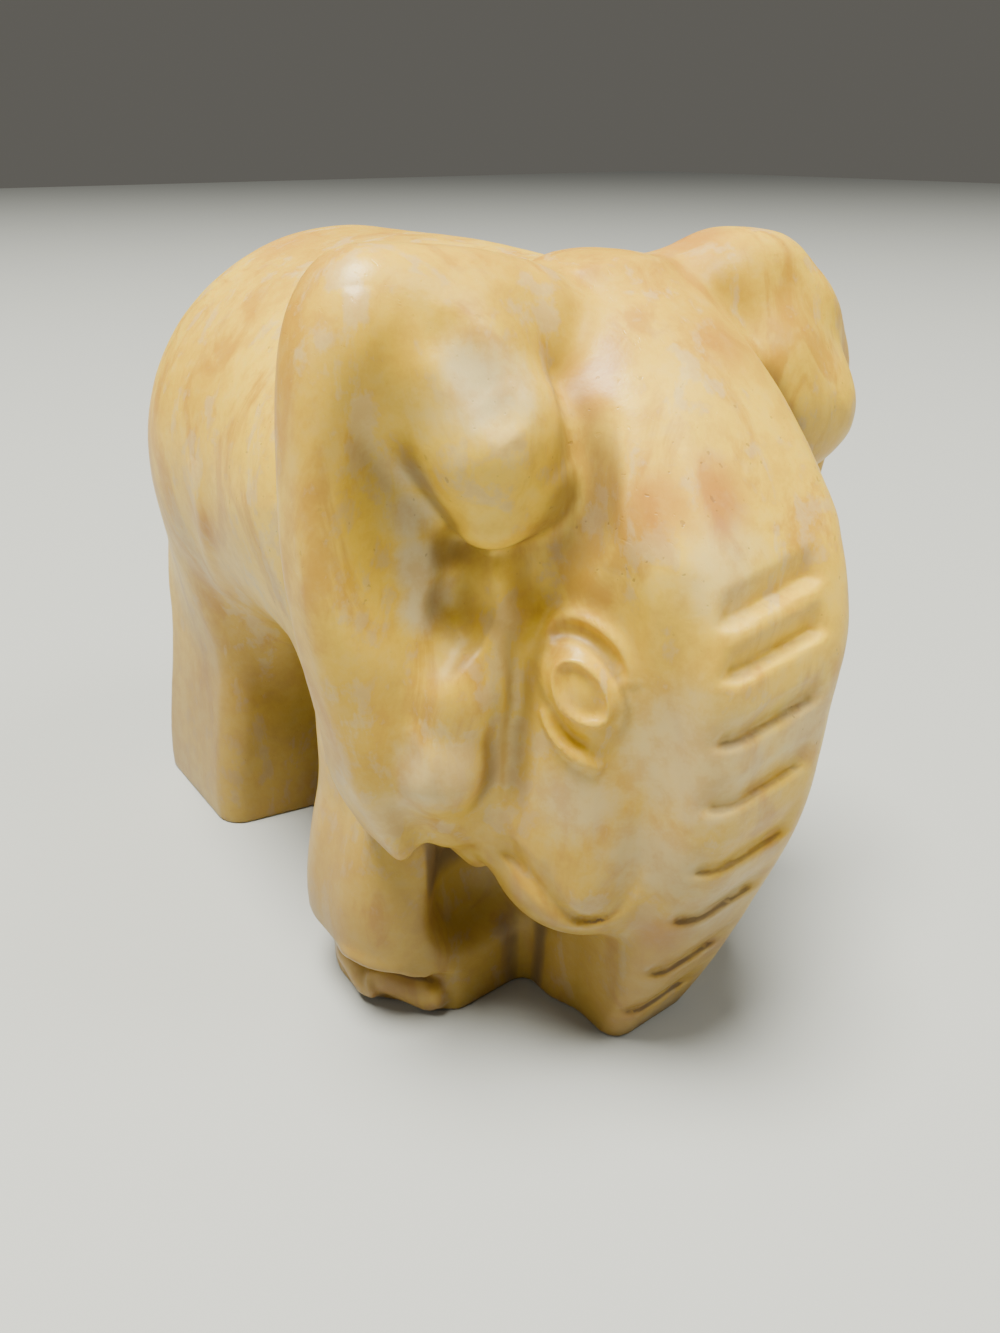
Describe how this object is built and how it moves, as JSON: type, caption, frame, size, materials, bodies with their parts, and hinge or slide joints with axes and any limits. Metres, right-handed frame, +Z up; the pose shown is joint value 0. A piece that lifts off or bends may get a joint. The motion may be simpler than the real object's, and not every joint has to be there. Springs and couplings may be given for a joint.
{
  "type": "elephant statuette",
  "caption": "Carved alabaster elephant standing on its feet and trunk tip, with spread ears, a banded trunk and an arch under the belly.",
  "frame": {"origin": "middle of the underside of the bounding box, on the surface that the statuette stands on", "axes": "+Z up, the elephant faces -Y and its left side is +X"},
  "size_m": [0.0924, 0.1379, 0.1162],
  "materials": {
    "alabaster": "satin hand-polished honey alabaster with cloudy pale patches and amber veins"
  },
  "bodies": {
    "root": {"elephant": "alabaster"}
  },
  "joints": []
}
